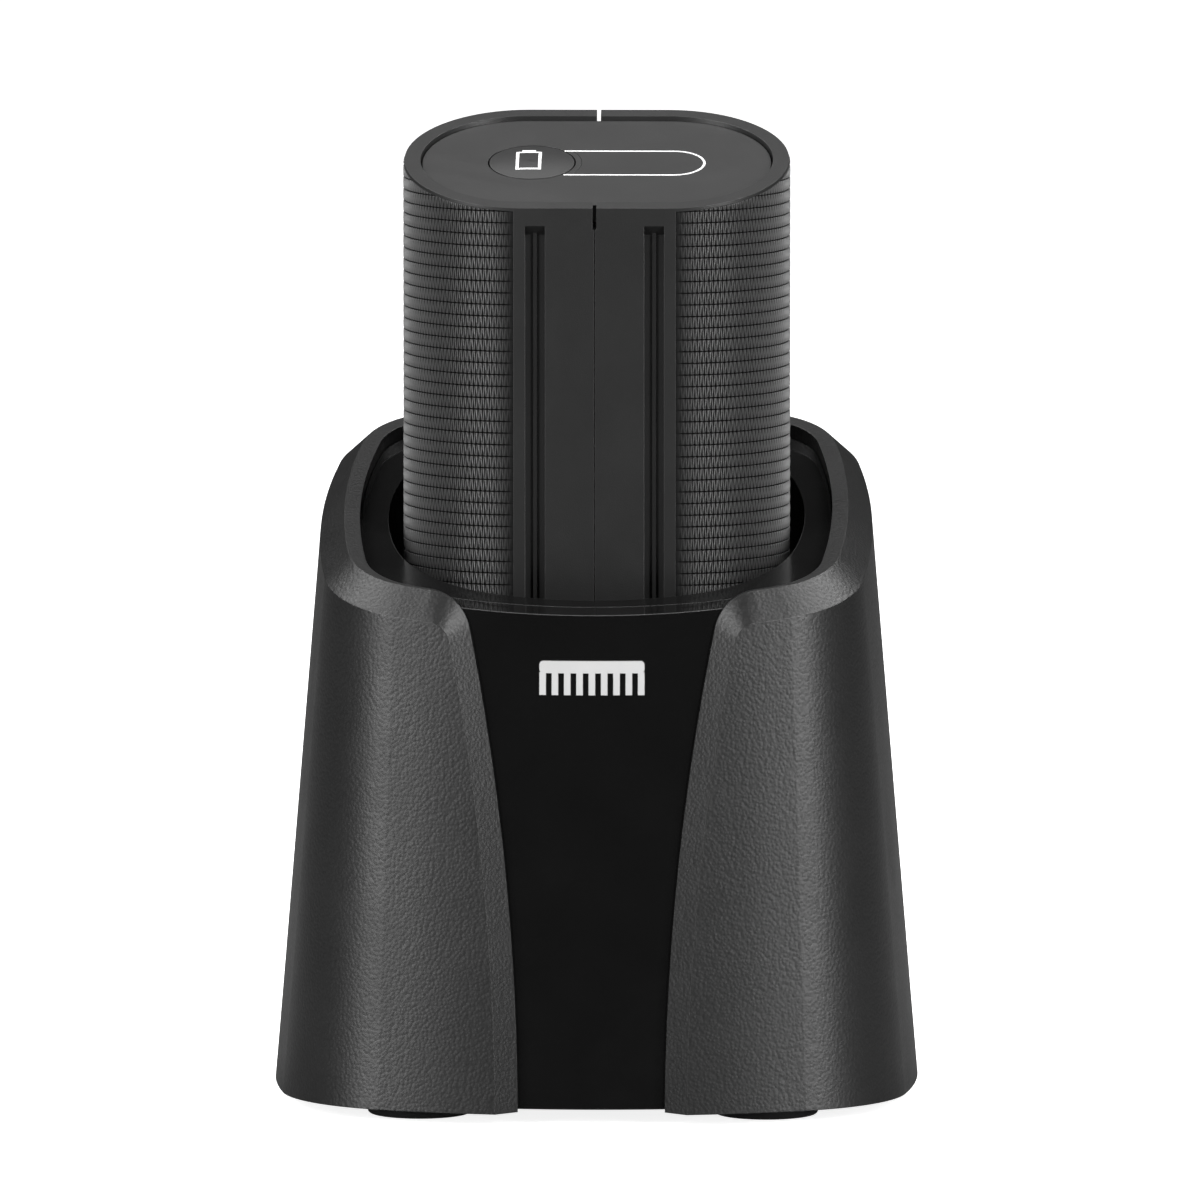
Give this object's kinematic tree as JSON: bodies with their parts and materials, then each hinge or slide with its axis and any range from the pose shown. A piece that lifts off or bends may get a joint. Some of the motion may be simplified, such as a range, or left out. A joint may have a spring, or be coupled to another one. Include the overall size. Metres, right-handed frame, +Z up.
{
  "type": "hair clipper charging stand with battery pack",
  "caption": "Tapered black charging stand with a sloped rim and open front, holding a lift-out obround clipper battery pack with knit-pattern grips.",
  "frame": {"origin": "on the table, below the middle of the stand's outline", "axes": "+Z up, the front opening faces -Y, +X to the right as seen from the front"},
  "size_m": [0.0804, 0.077, 0.1213],
  "materials": {
    "shell_matte": "fine pebble grain, matte",
    "panel_gloss": "piano gloss",
    "badge_grey": "satin",
    "liner_gloss": "piano gloss",
    "base_plastic": "fine texture",
    "zinc_steel": "zinc plated",
    "foot_rubber": "matte",
    "board_green": "solder mask",
    "component_black": "matte",
    "component_grey": "satin",
    "contact_gold": "plated",
    "spring_steel": "bright",
    "pack_plastic": "fine sand texture",
    "grip_rubber": "knit-patterned",
    "cap_plastic": "satin",
    "gauge_smoke": "smoked, satin",
    "cell_wrap": "shrink wrap over a can",
    "carrier_plastic": "moulded",
    "nickel": "nickel plated",
    "foam": "closed-cell foam",
    "lamp": "clear"
  },
  "bodies": {
    "stand": {"outer_shell": "shell_matte", "front_panel": "panel_gloss", "front_badge": "badge_grey", "well_liner": "liner_gloss", "base_plate": "base_plastic", "base_screws": "zinc_steel", "ballast_plate": "zinc_steel", "foot_front_left": "foot_rubber", "foot_front_right": "foot_rubber", "foot_rear_left": "foot_rubber", "foot_rear_right": "foot_rubber", "charge_board": "board_green", "board_screws": "zinc_steel", "board_inductor": "component_black", "board_capacitors": "component_grey", "board_chips": "component_black", "dc_jack": "component_black", "jack_pin": "contact_gold", "contact_block": "component_black", "contact_tails": "contact_gold", "contact_spring_left": "spring_steel", "contact_spring_right": "spring_steel"},
    "contact_plunger_left": {"contact_plunger_left": "contact_gold"},
    "contact_plunger_right": {"contact_plunger_right": "contact_gold"},
    "battery_pack": {"pack_shell_left": "pack_plastic", "pack_shell_right": "pack_plastic", "grip_left": "grip_rubber", "grip_right": "grip_rubber", "end_cap": "cap_plastic", "gauge_window": "gauge_smoke", "gauge_board": "board_green", "gauge_screws": "zinc_steel", "gauge_lamps": "lamp", "button_switch": "component_grey", "cell_left": "cell_wrap", "cell_right": "cell_wrap", "cell_carrier_bottom": "carrier_plastic", "cell_carrier_top": "carrier_plastic", "bottom_link": "nickel", "top_links": "nickel", "cell_pad": "foam", "protection_board": "board_green", "protection_parts": "component_black", "pack_contacts": "contact_gold", "bus_strips": "nickel"},
    "charge_button": {"charge_button": "cap_plastic"}
  },
  "joints": [
    {"name": "pack_lift", "type": "slide", "parent": "stand", "child": "battery_pack", "axis": [0, 0, 1], "range_m": [0, 0.075]},
    {"name": "charge_button_press", "type": "slide", "parent": "battery_pack", "child": "charge_button", "axis": [0, 0.2924, -0.9563], "range_m": [0, 0.0005], "stiffness_N_per_m": 1200, "springref_m": -0.0004},
    {"name": "contact_left_press", "type": "slide", "parent": "stand", "child": "contact_plunger_left", "axis": [0, 0, 1], "range_m": [-0.0008, 0], "stiffness_N_per_m": 400, "springref_m": 0.001, "deforming": ["contact_spring_left"]},
    {"name": "contact_right_press", "type": "slide", "parent": "stand", "child": "contact_plunger_right", "axis": [0, 0, 1], "range_m": [-0.0008, 0], "stiffness_N_per_m": 400, "springref_m": 0.001, "deforming": ["contact_spring_right"]}
  ]
}
